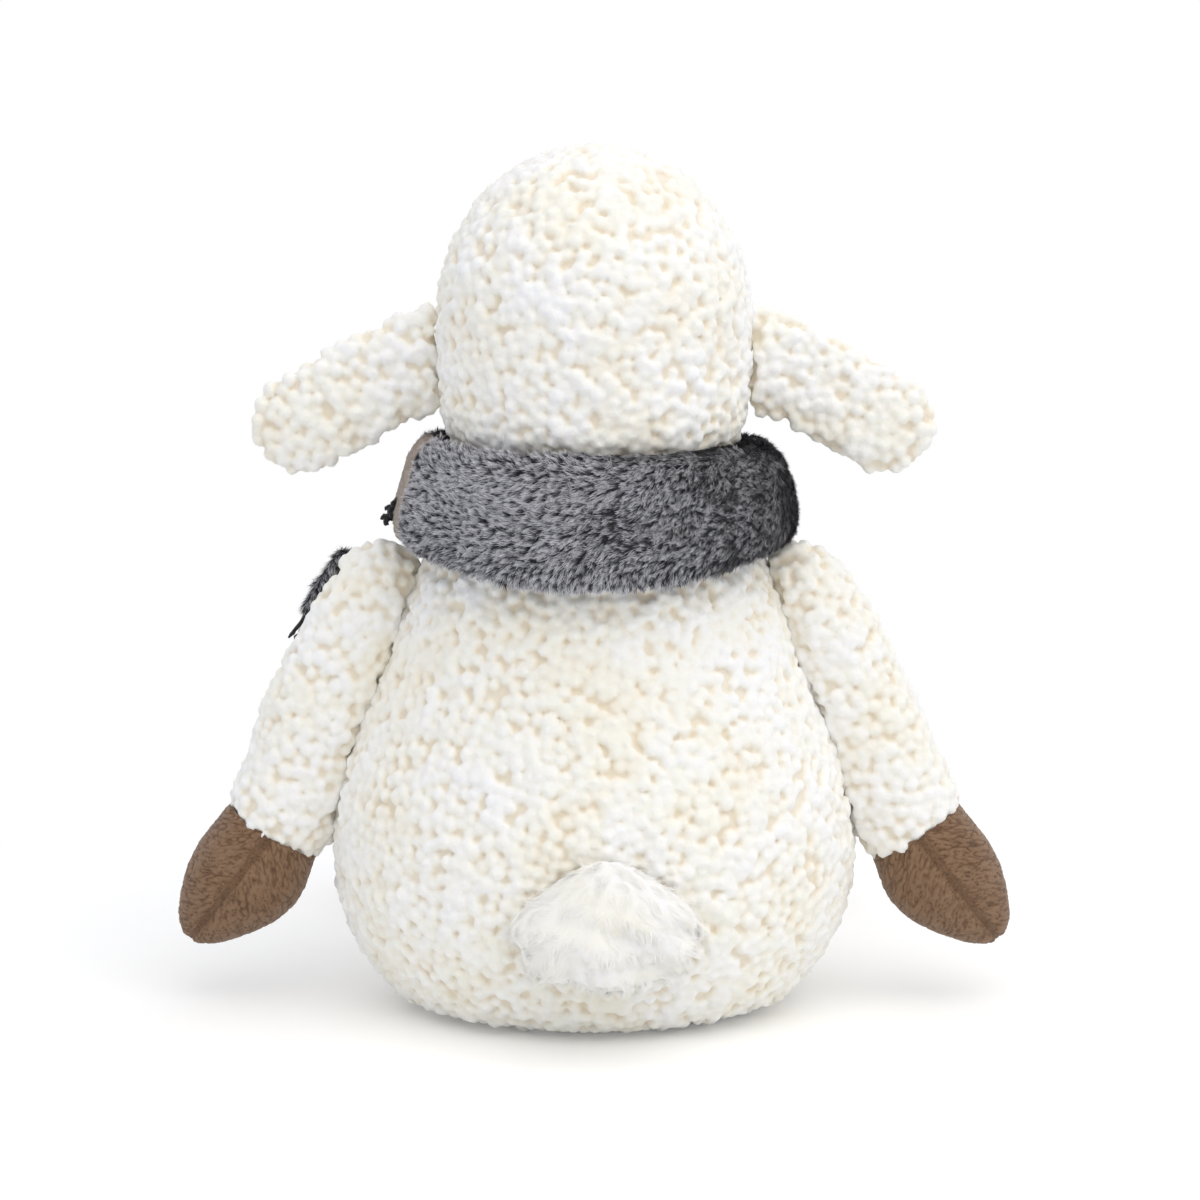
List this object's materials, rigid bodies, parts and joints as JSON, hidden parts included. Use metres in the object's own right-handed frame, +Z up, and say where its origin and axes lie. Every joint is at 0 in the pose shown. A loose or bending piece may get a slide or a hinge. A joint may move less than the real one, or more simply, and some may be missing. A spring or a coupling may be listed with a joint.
{
  "type": "plush sheep",
  "caption": "Seated plush sheep in curly fleece with short-plush hooves, hanging ears, a fluffy tail and a faux-fur scarf; head, ears, limbs, tail and one scarf end move on their seams.",
  "frame": {"origin": "centre of the torso's flat base, on the surface that the toy sits on", "axes": "+Z up; the face looks along -Y, so +X is the toy's own left"},
  "size_m": [0.2928, 0.2834, 0.299],
  "materials": {
    "fleece": "curly bouclé fleece",
    "plush": "short-pile plush",
    "fur": "faux fur, dark under silver tips",
    "fringe": "twisted yarn",
    "stuffing": "loose polyester fibre",
    "pellets": "plastic pellets in a cloth bag",
    "nose": "satin-stitched thread",
    "eye": "polished",
    "washer": "moulded"
  },
  "bodies": {
    "torso": {"torso_cover": "fleece", "torso_stuffing": "stuffing", "pellet_bag": "pellets", "scarf_turn": "fur", "scarf_knot": "fur"},
    "head": {"head_cover": "fleece", "head_stuffing": "stuffing", "face_muzzle": "plush", "nose": "nose", "eye_left": "eye", "eye_right": "eye", "eye_washer_left": "washer", "eye_washer_right": "washer"},
    "ear_left": {"ear_left": "fleece", "ear_lining_left": "plush"},
    "ear_right": {"ear_right": "fleece", "ear_lining_right": "plush"},
    "arm_left": {"arm_sleeve_left": "fleece", "arm_hoof_left": "plush", "arm_stuffing_left": "stuffing", "scarf_side_end": "fur", "scarf_side_fringe": "fringe"},
    "arm_right": {"arm_sleeve_right": "fleece", "arm_hoof_right": "plush", "arm_stuffing_right": "stuffing"},
    "leg_left": {"leg_cover_left": "fleece", "leg_hoof_left": "plush", "leg_stuffing_left": "stuffing"},
    "leg_right": {"leg_cover_right": "fleece", "leg_hoof_right": "plush", "leg_stuffing_right": "stuffing"},
    "tail": {"tail": "fleece"},
    "scarf_front": {"scarf_front_end": "fur", "scarf_front_fringe": "fringe"}
  },
  "joints": [
    {"name": "head_turn", "type": "hinge", "parent": "torso", "child": "head", "pos_m": [0, 0, 0.185], "axis": [0, 0, 1], "range_deg": [-25, 25], "stiffness_Nm_per_rad": 0.05},
    {"name": "ear_left_flap", "type": "hinge", "parent": "head", "child": "ear_left", "pos_m": [0.0555, 0, 0.2276], "axis": [0, 0, 1], "range_deg": [-40, 40], "stiffness_Nm_per_rad": 0.02},
    {"name": "ear_right_flap", "type": "hinge", "parent": "head", "child": "ear_right", "pos_m": [-0.0555, 0, 0.2276], "axis": [0, 0, -1], "range_deg": [-40, 40], "stiffness_Nm_per_rad": 0.02},
    {"name": "arm_left_swing", "type": "hinge", "parent": "torso", "child": "arm_left", "pos_m": [0.06435, 0, 0.14688], "axis": [-0.9063, 0, -0.4226], "range_deg": [-30, 70], "stiffness_Nm_per_rad": 0.02},
    {"name": "arm_right_swing", "type": "hinge", "parent": "torso", "child": "arm_right", "pos_m": [-0.06435, 0, 0.14688], "axis": [-0.9063, 0, 0.4226], "range_deg": [-30, 70], "stiffness_Nm_per_rad": 0.02},
    {"name": "leg_left_flap", "type": "hinge", "parent": "torso", "child": "leg_left", "pos_m": [0.0422, -0.06539, 0.02456], "axis": [-1, 0, 0], "range_deg": [-30, 30], "stiffness_Nm_per_rad": 0.05},
    {"name": "leg_right_flap", "type": "hinge", "parent": "torso", "child": "leg_right", "pos_m": [-0.0422, -0.06539, 0.02456], "axis": [-1, 0, 0], "range_deg": [-30, 30], "stiffness_Nm_per_rad": 0.05},
    {"name": "tail_flap", "type": "hinge", "parent": "torso", "child": "tail", "pos_m": [0, 0.0793, 0.06481], "axis": [1, 0, 0], "range_deg": [0, 30], "stiffness_Nm_per_rad": 0.005},
    {"name": "scarf_end_lift", "type": "hinge", "parent": "torso", "child": "scarf_front", "pos_m": [0.01649, -0.06612, 0.1551], "axis": [-0.9703, -0.2419, 0], "range_deg": [0, 45]}
  ]
}
